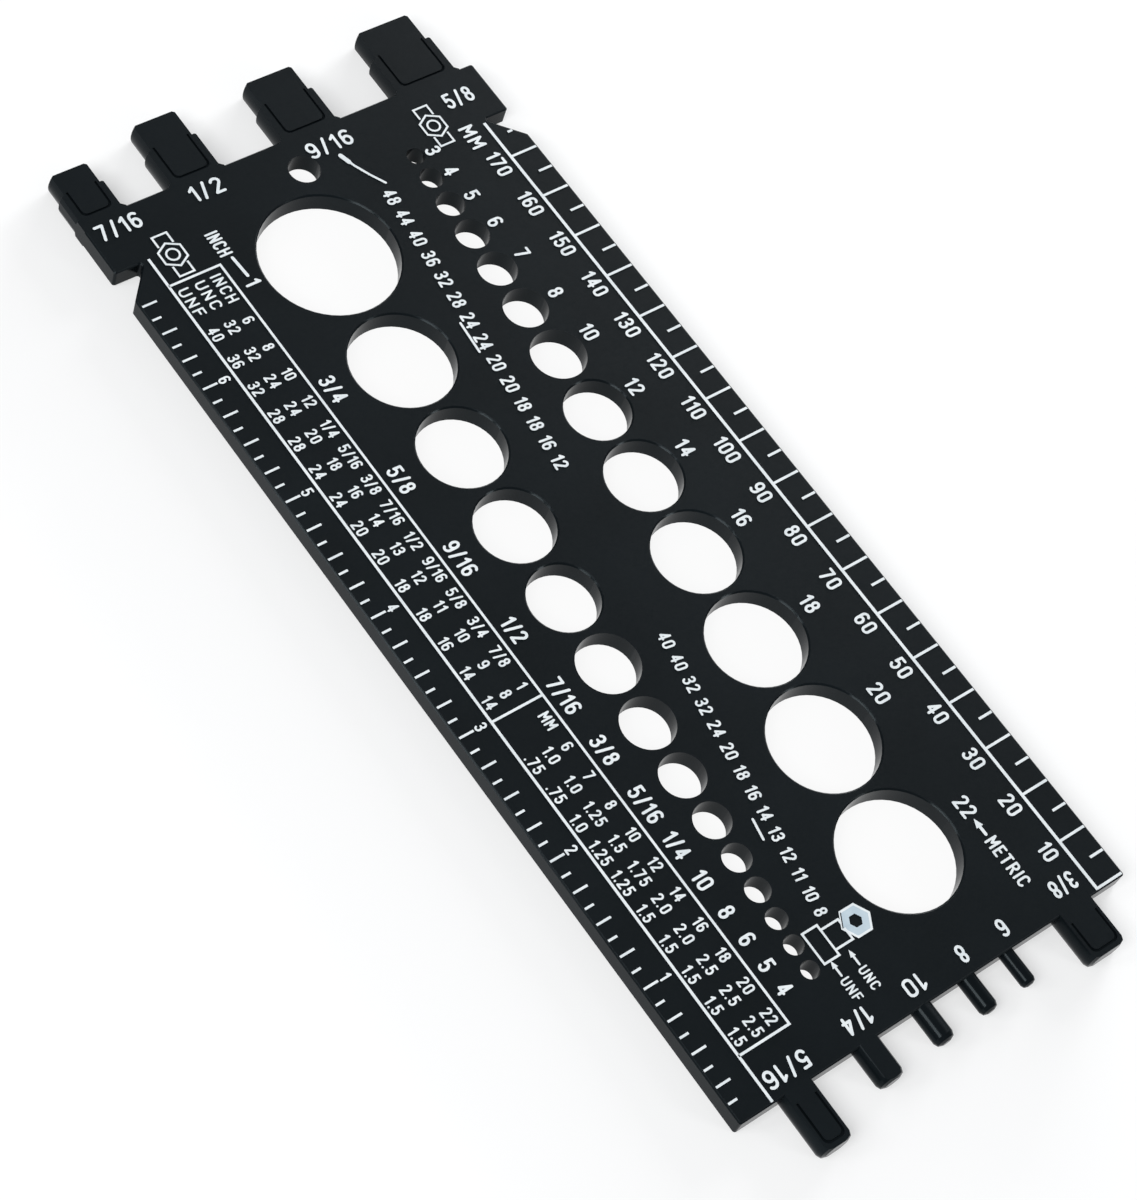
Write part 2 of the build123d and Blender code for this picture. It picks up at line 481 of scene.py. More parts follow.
@dataclass
class Print:
    """A group of marks in one coat of ink, which becomes one piece."""

    name: str
    frame: PrintFrame
    ink: bpy.types.Material
    coat: float = 0.030  # height of the ink over the face
    sunk: float = 0.006  # how far it reaches into the face
    layer: float = 0.002  # from one mark's height to the next one's
    layers: int = 4  # how many heights the marks take in turn
    weight_share: float = 0.155  # a stroke's width, as a share of a text's height
    spacing: float = 1.75  # between characters, in grid units beside the stroke's own width
    parts: MeshParts = field(default_factory=MeshParts)
    drawn: int = 0

    def _heights(self) -> tuple[float, float]:
        """The heights of the next mark, which vary a little, so crossing marks never share a face.

        Returns:
            Its bottom and its top, in metres.
        """
        self.drawn += 1
        rise = self.layer * (self.drawn % self.layers)
        return self.frame.face_z - self.sunk * MM, self.frame.face_z + (self.coat + rise) * MM

    def mark(self, stroke: Stroke, width: float, end: End = End.SQUARE) -> None:
        """Draw a stroke.

        Args:
            stroke: its middle, in ruler millimetres.
            width: its width in millimetres.
            end: how it ends.
        """
        bottom, top = self._heights()
        placed = Stroke(self.frame.place(stroke.points), stroke.closed)
        self.parts.add(*ribbon(placed, width / 2 * MM, bottom, top, end))

    def fill(self, outline: np.ndarray) -> None:
        """Fill a counter-clockwise outline, in ruler millimetres."""
        bottom, top = self._heights()
        self.parts.add(*slab(self.frame.place(outline), bottom, top))

    def arrow(self, x: float, arrow: Arrow) -> None:
        """Draw an arrow at x."""
        self.mark(line((x, arrow.neck), (x, arrow.foot)), arrow.width, End.ROUND)
        self.fill(np.array([(x - arrow.half, arrow.base), (x + arrow.half, arrow.base), (x, arrow.tip)]))

    def text(self, label: Label, height: float, angle: float = Reading.DOWN.value) -> None:
        """Draw a line of text.

        Args:
            label: the characters and their place.
            height: the height of a capital, its stroke included.
            angle: the way the line runs, in degrees.
        """
        weight = height * self.weight_share
        scale = (height - weight) / GRID_HEIGHT
        gap = self.spacing + weight / scale
        glyphs = [GLYPHS[letter] for letter in label.words]
        starts = np.cumsum([0.0] + [glyph.width + gap for glyph in glyphs])
        natural = (starts[-1] - gap) * scale
        stretch = 1.0 if label.length is None else (label.length - weight) / natural
        turn = math.radians(angle)
        run = np.array([math.cos(turn), math.sin(turn)])
        rise = np.array([-run[1], run[0]])
        for glyph, start in zip(glyphs, starts):
            for stroke in glyph.strokes:
                along = ((stroke.points[:, :1] + start) * scale - natural / 2) * stretch
                across = (stroke.points[:, 1:] - GRID_HEIGHT / 2) * scale
                points = np.array([label.x, label.y]) + along * run + across * rise
                self.mark(Stroke(points, stroke.closed), weight, End.ROUND)

    def finish(self) -> bpy.types.Object:
        """Make the piece and let it ride on the plate.

        Returns:
            The piece.
        """
        piece = self.parts.to_object(self.name, self.ink)
        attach(piece, BODY)
        return piece


@dataclass
class PrintGroup(ABC):
    """Marks that belong together. Each kind says where they stand and builds their pieces."""

    frame: PrintFrame
    ink: bpy.types.Material

    def new_print(self, name: str) -> Print:
        """Start a piece of print in the group's ink."""
        return Print(name, self.frame, self.ink)

    @abstractmethod
    def build(self) -> list[bpy.types.Object]:
        """Build the group's pieces."""


@dataclass
class InchRuler(PrintGroup):
    """The ruler along the left edge, with a mark at each eighth of an inch."""

    line_width: float = 0.50
    line_low: float = -0.2
    line_high: float = 179.6
    tick_width: float = 0.42
    tick_off_edge: float = 0.4
    long_tick: float = 2.9
    short_tick: float = 1.8
    ticks_per_inch: int = 8
    ticks: int = 54
    numbers: int = 6
    number_x: float = -2.05
    number_height: float = 2.3

    def build(self) -> list[bpy.types.Object]:
        """Build the line with its marks, and the numbers.

        Returns:
            The two pieces.
        """
        scale = self.new_print("inch_scale")
        scale.mark(line((0, self.line_low), (0, self.line_high)), self.line_width)
        start = self.frame.left + self.tick_off_edge
        for tick in range(1, self.ticks + 1):
            y = tick * INCH / self.ticks_per_inch
            length = self.short_tick if tick % 2 else self.long_tick
            scale.mark(line((start, y), (start + length, y)), self.tick_width)
        numbers = self.new_print("inch_scale_numbers")
        for inch in range(1, self.numbers + 1):
            numbers.text(Label(str(inch), self.number_x, inch * INCH), self.number_height)
        return [scale.finish(), numbers.finish()]


@dataclass
class MetricRuler(PrintGroup):
    """The ruler along the right edge, with a mark at each 5 mm and a number at each 10 mm."""

    line_x: float = 72.35
    line_width: float = 0.60
    line_low: float = -0.2
    line_high: float = 178.6
    tick_width: float = 0.48
    tick_off_edge: float = 0.4
    short_tick: float = 3.0
    step: int = 5
    last: int = 175
    number_x: float = 69.3
    number_off: float = -0.4
    number_height: float = 3.2
    unit_label: Label = Label("MM", 68.4, 176.9, 5.2)

    def build(self) -> list[bpy.types.Object]:
        """Build the line with its marks, and the numbers.

        Returns:
            The two pieces.
        """
        scale = self.new_print("metric_scale")
        scale.mark(line((self.line_x, self.line_low), (self.line_x, self.line_high)), self.line_width)
        edge = self.frame.right - self.tick_off_edge
        numbers = self.new_print("metric_scale_numbers")
        for y in range(0, self.last + 1, self.step):
            numbered = y % (2 * self.step) == 0
            start = self.line_x if numbered else edge - self.short_tick
            end = edge - self.frame.notch_at(y + self.tick_width / 2)
            scale.mark(line((start, y), (end, y)), self.tick_width)
            if numbered and y > 0:
                numbers.text(Label(str(y), self.number_x, y + self.number_off), self.number_height)
        numbers.text(self.unit_label, self.number_height)
        return [scale.finish(), numbers.finish()]


@dataclass
class ThreadTable(PrintGroup):
    """The table beside the inch ruler: bolt sizes with their coarse and fine threads."""

    rule_width: float = 0.45
    right: float = 10.6
    header_y: float = 173.1
    cross_y: float = 76.0
    end_y: float = 8.6
    columns: tuple[float, float, float] = (8.5, 5.2, 1.8)
    text_height: float = 2.3
    header_middle: float = 168.5
    header_length: float = 6.2
    inch_first: float = 161.0
    inch_pitch: float = 6.3
    metric_header: float = 71.6
    metric_first: float = 66.2
    metric_pitch: float = 6.1

    HEADER: ClassVar[tuple[str, ...]] = ("INCH", "UNC", "UNF")
    INCH_ROWS: ClassVar[tuple[tuple[str, str, str], ...]] = (
        ("6", "32", "40"), ("8", "32", "36"), ("10", "24", "32"), ("12", "24", "28"),
        ("1/4", "20", "28"), ("5/16", "18", "24"), ("3/8", "16", "24"), ("7/16", "14", "20"),
        ("1/2", "13", "20"), ("9/16", "12", "18"), ("5/8", "11", "18"), ("3/4", "10", "16"),
        ("7/8", "9", "14"), ("1", "8", "14"),
    )
    METRIC_HEADER: ClassVar[str] = "MM"
    METRIC_ROWS: ClassVar[tuple[tuple[str, str, str], ...]] = (
        ("6", "1.0", ".75"), ("7", "1.0", ".75"), ("8", "1.25", "1.0"), ("10", "1.5", "1.25"),
        ("12", "1.75", "1.25"), ("14", "2.0", "1.5"), ("16", "2.0", "1.5"), ("18", "2.5", "1.5"),
        ("20", "2.5", "1.5"), ("22", "2.5", "1.5"),
    )

    def build(self) -> list[bpy.types.Object]:
        """Build the rules and the numbers.

        Returns:
            The two pieces.
        """
        rules = self.new_print("table_rules")
        top, bottom, cross = self.header_y, self.end_y, self.cross_y
        rules.mark(line((0, top), (self.right, top), (self.right, bottom), (0, bottom)), self.rule_width)
        rules.mark(line((0, cross), (self.right, cross)), self.rule_width)
        numbers = self.new_print("table_numbers")
        for x, word in zip(self.columns, self.HEADER):
            numbers.text(Label(word, x, self.header_middle, self.header_length), self.text_height)
        numbers.text(Label(self.METRIC_HEADER, self.columns[0], self.metric_header), self.text_height)
        self._rows(numbers, self.INCH_ROWS, self.inch_first, self.inch_pitch)
        self._rows(numbers, self.METRIC_ROWS, self.metric_first, self.metric_pitch)
        return [rules.finish(), numbers.finish()]

    def _rows(
        self, numbers: Print, rows: tuple[tuple[str, str, str], ...], first: float, pitch: float
    ) -> None:
        """Print rows of entries.

        Args:
            numbers: the piece that they go on.
            rows: the entries of each row.
            first: the first row's y.
            pitch: from one row down to the next.
        """
        for number, row in enumerate(rows):
            for x, words in zip(self.columns, row):
                numbers.text(Label(words, x, first - number * pitch), self.text_height)


@dataclass
class HoleNumbers(PrintGroup):
    """The numbers beside the two rows of holes, with the name of each row."""

    inch_x: float = 13.65
    inch_height: float = 3.2
    metric_low: Point = (61.6, 15.0)
    metric_high: Point = (59.8, 177.5)
    metric_bow: float = 2.0
    metric_height: float = 3.2
    name_height: float = 2.7
    # The x of each name and of the dash counts from its row's numbers.
    inch_name: Label = Label("INCH", -0.85, 177.0, 5.4)
    inch_dash: tuple[Point, Point] = ((-0.3, 173.4), (0.0, 169.0))
    dash_width: float = 0.6
    metric_name: Label = Label("METRIC", 0.1, 11.8, 9.8)
    arrow_y: float = 19.0  # where the arrow takes its x from the row
    arrow: Arrow = Arrow(foot=17.6, neck=20.2, base=19.2, tip=20.9, half=0.75, width=0.6)

    INCH_LABELS: ClassVar[dict[str, float]] = {
        "3/4": 142.3, "5/8": 121.6, "9/16": 104.0, "1/2": 88.3, "7/16": 74.1, "3/8": 62.6, "5/16": 51.2,
        "1/4": 42.7, "10": 35.6, "8": 29.1, "6": 23.6, "5": 18.4, "4": 13.7, "1": 167.4,
    }
    METRIC_LABELS: ClassVar[dict[str, float]] = {
        "3": 177.5, "4": 172.2, "5": 166.0, "6": 159.1, "7": 151.2, "8": 141.3, "10": 131.5, "12": 118.2,
        "14": 103.5, "16": 87.2, "18": 67.5, "20": 47.7, "22": 23.4,
    }

    def build(self) -> list[bpy.types.Object]:
        """Build the inch and the metric numbers.

        Returns:
            The two pieces.
        """
        inch = self.new_print("inch_hole_numbers")
        for words, y in self.INCH_LABELS.items():
            inch.text(Label(words, self.inch_x, y), self.inch_height)
        self._name(inch, self.inch_name, self.inch_x)
        inch.mark(line(*np.add(self.inch_dash, (self.inch_x, 0))), self.dash_width, End.ROUND)
        metric = self.new_print("metric_hole_numbers")
        for words, y in self.METRIC_LABELS.items():
            metric.text(Label(words, self._metric_x(y), y), self.metric_height)
        x = self._metric_x(self.arrow_y)
        metric.arrow(x, self.arrow)
        self._name(metric, self.metric_name, x)
        return [inch.finish(), metric.finish()]

    def _name(self, numbers: Print, name: Label, x: float) -> None:
        """Print a row's name, with its x counted from another."""
        numbers.text(Label(name.words, x + name.x, name.y, name.length), self.name_height)

    def _metric_x(self, y: float) -> float:
        """The x of the metric numbers: a line along their row plus 4 bow s (1 - s), a parabola.

        Args:
            y: where on the row, which gives its share s.

        Returns:
            The numbers' middle there.
        """
        (x0, y0), (x1, y1) = self.metric_low, self.metric_high
        share = (y - y0) / (y1 - y0)
        return x0 + (x1 - x0) * share + 4 * self.metric_bow * share * (1 - share)


@dataclass
class PostNumbers(PrintGroup):
    """The numbers beside the posts on both ends."""

    high_height: float = 3.5
    low_height: float = 3.3

    HIGH_LABELS: ClassVar[tuple[Label, ...]] = (
        Label("7/16", -0.9, 187.8, 8.6), Label("1/2", 17.4, 188.0, 6.6),
        Label("9/16", 43.2, 187.0, 9.4), Label("5/8", 71.4, 185.7, 6.2),
    )
    LOW_LABELS: ClassVar[tuple[Label, ...]] = (
        Label("5/16", 5.4, 2.8, 8.8), Label("1/4", 20.7, 3.2, 5.6), Label("10", 33.1, 3.0, 4.1),
        Label("8", 43.7, 3.1), Label("6", 52.9, 3.1), Label("3/8", 67.5, 3.6, 5.4),
    )

    def build(self) -> list[bpy.types.Object]:
        """Build the numbers at both ends.

        Returns:
            The two pieces.
        """
        high = self.new_print("large_post_numbers")
        for label in self.HIGH_LABELS:
            high.text(label, self.high_height, Reading.UPRIGHT.value)
        low = self.new_print("small_post_numbers")
        for label in self.LOW_LABELS:
            low.text(label, self.low_height, Reading.INVERTED.value)
        return [high.finish(), low.finish()]


@dataclass(frozen=True)
class CountRow:
    """A row of thread counts.

    Attributes:
        words: the counts.
        start, end: the two points between which it is spread, in ruler millimetres.
        height: the height of its numbers.
    """

    words: str
    start: Point
    end: Point
    height: float


@dataclass
class NumberRows(PrintGroup):
    """Two long rows of thread counts between the holes, with the lines that mark them."""

    rule_width: float = 0.45
    leader_head_width: float = 0.90

    ROWS: ClassVar[tuple[CountRow, ...]] = (
        CountRow("48 44 40 36 32 28 24 24 20 20 18 18 16 12", (46.9, 173.6), (40.4, 110.3), 2.8),
        CountRow("40 40 32 32 24 20 18 16 14 13 12 11 10 8", (35.9, 75.5), (27.4, 20.5), 2.5),
    )
    UNDERLINES: ClassVar[tuple[tuple[Point, Point], ...]] = (
        ((41.9, 143.6), (41.4, 137.0)),
        ((27.9, 40.0), (27.2, 36.2)),
    )
    LEADER: ClassVar[tuple[Point, ...]] = ((43.6, 183.9), (44.6, 180.9), (46.0, 178.0), (47.6, 175.2))
    LEADER_HEAD: ClassVar[tuple[Point, ...]] = ((43.6, 183.9), (44.2, 182.0))

    def build(self) -> list[bpy.types.Object]:
        """Build the rows with their leader and underlines.

        Returns:
            The one piece.
        """
        rows = self.new_print("thread_count_rows")
        for row in self.ROWS:
            run = np.subtract(row.end, row.start)
            middle = np.add(row.start, row.end) / 2
            angle = math.degrees(math.atan2(run[1], run[0]))
            rows.text(Label(row.words, middle[0], middle[1], float(np.hypot(*run))), row.height, angle)
        for ends in self.UNDERLINES:
            rows.mark(line(*ends), self.rule_width, End.ROUND)
        rows.mark(line(*self.LEADER), self.rule_width, End.ROUND)
        rows.mark(line(*self.LEADER_HEAD), self.leader_head_width, End.ROUND)
        return [rows.finish()]


@dataclass
class NutSign(PrintGroup):
    """A small drawing of a stepped bar and a nut, beside the small posts."""

    pale_ink: bpy.types.Material
    line_width: float = 0.4
    # The bar's two parts, each by its lowest x and y and its highest.
    wide_box: tuple[Point, Point] = ((22.2, 13.6), (25.4, 19.6))
    narrow_box: tuple[Point, Point] = ((25.4, 14.6), (29.2, 18.6))
    nut_centre: Point = (31.7, 16.9)
    nut_radius: float = 2.9
    bore_radius: float = 1.25
    text_height: float = 2.0
    arrow: Arrow = Arrow(foot=10.6, neck=12.9, base=12.2, tip=13.5, half=0.55, width=0.4)

    LABELS: ClassVar[tuple[Label, ...]] = (Label("UNC", 27.3, 7.9, 4.2), Label("UNF", 23.4, 7.9, 4.2))

    def build(self) -> list[bpy.types.Object]:
        """Build the drawing and the nut's pale fill.

        Returns:
            The two pieces.
        """
        sign = self.new_print("nut_sign")
        for (x0, y0), (x1, y1) in (self.wide_box, self.narrow_box):
            corners = path((x0, y0), (x1, y0), (x1, y1), (x0, y1))
            sign.mark(Stroke(corners, closed=True), self.line_width)
        for label in self.LABELS:
            sign.arrow(label.x, self.arrow)
            sign.text(label, self.text_height)
        nut = Print("nut_sign_fill", self.frame, self.pale_ink)
        outer = polygon(*self.nut_centre, self.nut_radius, NUT_SIDES)
        inner = polygon(*self.nut_centre, self.bore_radius, NUT_SIDES)
        for here in range(NUT_SIDES):
            after = (here + 1) % NUT_SIDES
            nut.fill(np.array([outer[here], outer[after], inner[after], inner[here]]))
        sign.mark(Stroke(outer, closed=True), self.line_width)
        return [sign.finish(), nut.finish()]


@dataclass
class CornerMarks(PrintGroup):
    """A plain sign in each corner beside the large posts: a six-sided nut on a bar."""

    centres: tuple[Point, Point] = ((4.4, 178.6), (63.3, 182.2))
    nut_radius: float = 2.6
    nut_start: float = 30.0  # degrees, which puts two corners on the bar's middle line
    bore_radius: float = 1.2
    bar_half: float = 1.5
    bar_length: float = 2.3
    line_width: float = 0.38

    def build(self) -> list[bpy.types.Object]:
        """Build both signs.

        Returns:
            The one piece.
        """
        signs = self.new_print("corner_signs")
        for centre in self.centres:
            self._sign(signs, *centre)
        return [signs.finish()]

    def _sign(self, signs: Print, x: float, y: float) -> None:
        """Draw one sign.

        Args:
            signs: the piece that it goes on.
            x, y: the nut's centre, in ruler millimetres.
        """
        nut = polygon(x, y, self.nut_radius, NUT_SIDES, self.nut_start)
        signs.mark(Stroke(nut, closed=True), self.line_width)
        signs.mark(ring(x, y, self.bore_radius, self.bore_radius), self.line_width)
        foot = self.nut_radius * math.cos(math.pi / NUT_SIDES)
        left, right = x - self.bar_half, x + self.bar_half
        for out in (1, -1):
            near, far = y + out * foot, y + out * (foot + self.bar_length)
            signs.mark(line((left, near), (left, far), (right, far), (right, near)), self.line_width)


def feed(tree: Tree, socket: Socket, value: float | Socket) -> None:
    """Link a node's input to another's output, or set it to a number.

    Args:
        tree: the nodes.
        socket: the input.
        value: the output or the number.
    """
    if isinstance(value, Socket):
        tree.links.new(value, socket)
    else:
        socket.default_value = value


def calculate(tree: Tree, operation: str, *values: float | Socket) -> Socket:
    """Add a Math node.

    Args:
        tree: the nodes.
        operation: what it works out.
        values: its inputs, in order.

    Returns:
        Its output.
    """
    node = tree.nodes.new("ShaderNodeMath")
    node.operation = operation
    for socket, value in zip(node.inputs, values):
        feed(tree, socket, value)
    return node.outputs["Value"]


def map_range(tree: Tree, value: Socket, span: Span = (0.0, 1.0), result: Span = (0.0, 1.0)) -> Socket:
    """Add a Map Range node, which is straight between two values and level past them.

    Args:
        tree: the nodes.
        value: what it reads.
        span: the two values.
        result: what they turn into.

    Returns:
        Its output.
    """
    node = tree.nodes.new("ShaderNodeMapRange")
    node.inputs["From Min"].default_value, node.inputs["From Max"].default_value = span
    node.inputs["To Min"].default_value, node.inputs["To Max"].default_value = result
    tree.links.new(value, node.inputs["Value"])
    return node.outputs["Result"]


def blend(tree: Tree, share: Socket, first: float | Socket, second: float | Socket) -> Socket:
    """Add a Mix node on numbers.

    Args:
        tree: the nodes.
        share: the second number's share.
        first, second: the two numbers.

    Returns:
        Its output.
    """
    node = tree.nodes.new("ShaderNodeMix")
    for name, value in (("Factor", share), ("A", first), ("B", second)):
        feed(tree, node.inputs[name], value)
    return node.outputs["Result"]


@dataclass(frozen=True)
class FineGrain:
    """The node group of a fine grain.

    Its inputs are a vector, the grains to a metre and the clouds to a metre. It puts out the grain's
    height and a soft cloudy tone, both from 0 to 1.

    Attributes:
        grain_detail, grain_roughness: the grain's noise.
        cloud_detail: the clouds' noise.
    """

    grain_detail: float = 3.0
    grain_roughness: float = 0.6
    cloud_detail: float = 4.0

    SOCKETS: ClassVar[tuple[tuple[str, str, str], ...]] = (
        ("Vector", "INPUT", "NodeSocketVector"), ("Grains", "INPUT", "NodeSocketFloat"),
        ("Clouds", "INPUT", "NodeSocketFloat"), ("Height", "OUTPUT", "NodeSocketFloat"),
        ("Tone", "OUTPUT", "NodeSocketFloat"),
    )

    def build(self) -> Tree:
        """Build the group.

        Returns:
            The group.
        """
        group = bpy.data.node_groups.new("FineGrain", "ShaderNodeTree")
        for name, way, kind in self.SOCKETS:
            group.interface.new_socket(name, in_out=way, socket_type=kind)
        nodes, links = group.nodes, group.links
        source = nodes.new("NodeGroupInput")
        sink = nodes.new("NodeGroupOutput")
        grain = nodes.new("ShaderNodeTexNoise")
        grain.inputs["Detail"].default_value = self.grain_detail
        grain.inputs["Roughness"].default_value = self.grain_roughness
        cloud = nodes.new("ShaderNodeTexNoise")
        cloud.inputs["Detail"].default_value = self.cloud_detail
        for noise, scale, result in ((grain, "Grains", "Height"), (cloud, "Clouds", "Tone")):
            links.new(source.outputs["Vector"], noise.inputs["Vector"])
            links.new(source.outputs[scale], noise.inputs["Scale"])
            links.new(noise.outputs["Fac"], sink.inputs[result])
        return group


@dataclass(frozen=True)
class Coat:
    """The sockets that say how a surface feels.

    Attributes:
        rough: the roughness.
        height: the height of the grain, from 0 to 1.
        place: the point on the piece, in metres.
    """

    rough: Socket
    height: Socket
    place: Socket


@dataclass(frozen=True, kw_only=True)
class Finish:
    """A grained surface whose colour and roughness drift a little.

    Attributes:
        name: the material's name.
        dark, light: the two ends of its colour.
        rough, smooth: the two ends of its roughness.
        grains, clouds: how many of each go to a metre.
        grain_depth: the grain's depth in millimetres.
        specular: the shader's specular level.
        gloss_tint: the tint of its gloss.
    """

    name: str
    dark: Colour
    light: Colour
    rough: float
    smooth: float
    grains: float
    clouds: float
    grain_depth: float
    specular: float
    gloss_tint: Colour = (1.0, 1.0, 1.0)

    def build(self, grain_group: Tree) -> bpy.types.Material:
        """Build the material.

        Args:
            grain_group: the shared node group of fine grain.

        Returns:
            The material.
        """
        material = bpy.data.materials.new(self.name)
        material.use_nodes = True
        tree = material.node_tree
        nodes, links = tree.nodes, tree.links
        shader = nodes["Principled BSDF"]
        shader.inputs["Specular IOR Level"].default_value = self.specular
        shader.inputs["Specular Tint"].default_value = (*self.gloss_tint, 1)
        place = nodes.new("ShaderNodeTexCoord").outputs["Object"]
        grain = nodes.new("ShaderNodeGroup")
        grain.node_tree = grain_group
        grain.inputs["Grains"].default_value = self.grains
        grain.inputs["Clouds"].default_value = self.clouds
        links.new(place, grain.inputs["Vector"])

        colour = nodes.new("ShaderNodeValToRGB")
        stops = zip(colour.color_ramp.elements, (NOISE_LOW, NOISE_HIGH), (self.dark, self.light))
        for stop, position, paint in stops:
            stop.position = position
            stop.color = (*paint, 1)
        links.new(grain.outputs["Tone"], colour.inputs["Fac"])
        links.new(colour.outputs["Color"], shader.inputs["Base Color"])

        height = grain.outputs["Height"]
        rough = map_range(tree, height, (NOISE_LOW, NOISE_HIGH), (self.smooth, self.rough))
        coat = self.with_sides(tree, Coat(rough, height, place))
        links.new(coat.rough, shader.inputs["Roughness"])

        bump = nodes.new("ShaderNodeBump")
        bump.inputs["Strength"].default_value = 1.0
        bump.inputs["Distance"].default_value = self.grain_depth * MM
        links.new(coat.height, bump.inputs["Height"])
        links.new(bump.outputs["Normal"], shader.inputs["Normal"])
        return material

    def with_sides(self, tree: Tree, coat: Coat) -> Coat:
        """The same coat all over. A finish with other sides changes it here."""
        return coat


@dataclass(frozen=True, kw_only=True)
class FacedFinish(Finish):
    """A finish whose grain lies on the upper face, and whose sides and lower parts are smoother.

    Attributes:
        face_height: the height over which the surface counts as the face, in metres.
        side_rough: the roughness below it.
        side_grain: the grain's depth below it, as a share of the face's.
        fade: the height over which the one turns into the other, in metres.
    """

    face_height: float
    side_rough: float
    side_grain: float
    fade: float = 0.1 * MM

    def with_sides(self, tree: Tree, coat: Coat) -> Coat:
        """Turn the face's roughness and grain into the sides', as the height falls below the face.

        Args:
            tree: the material's nodes.
            coat: the face's roughness and grain.

        Returns:
            The coat of the whole surface.
        """
        parts = tree.nodes.new("ShaderNodeSeparateXYZ")
        tree.links.new(coat.place, parts.inputs["Vector"])
        share = map_range(tree, parts.outputs["Z"], (self.face_height - self.fade, self.face_height))
        rough = blend(tree, share, self.side_rough, coat.rough)
        depth = map_range(tree, share, result=(self.side_grain, 1.0))
        return Coat(rough, calculate(tree, "MULTIPLY", coat.height, depth), coat.place)


PLASTIC = FacedFinish(
    name="black_moulded_plastic", dark=(0.0044, 0.0062, 0.0075), light=(0.0058, 0.0082, 0.0100),
    rough=0.42, smooth=0.32, grains=3200, clouds=60, grain_depth=0.006, specular=0.09,
    gloss_tint=(0.80, 0.94, 1.0), face_height=3.85 * MM, side_rough=0.17, side_grain=0.25,
)
INK = Finish(
    name="white_ink", dark=(0.66, 0.71, 0.74), light=(0.78, 0.82, 0.84),
    rough=0.65, smooth=0.50, grains=5000, clouds=400, grain_depth=0.004, specular=0.35,
)
PALE_INK = Finish(
    name="pale_blue_ink", dark=(0.40, 0.50, 0.58), light=(0.50, 0.60, 0.67),
    rough=0.65, smooth=0.50, grains=5000, clouds=400, grain_depth=0.004, specular=0.35,
)


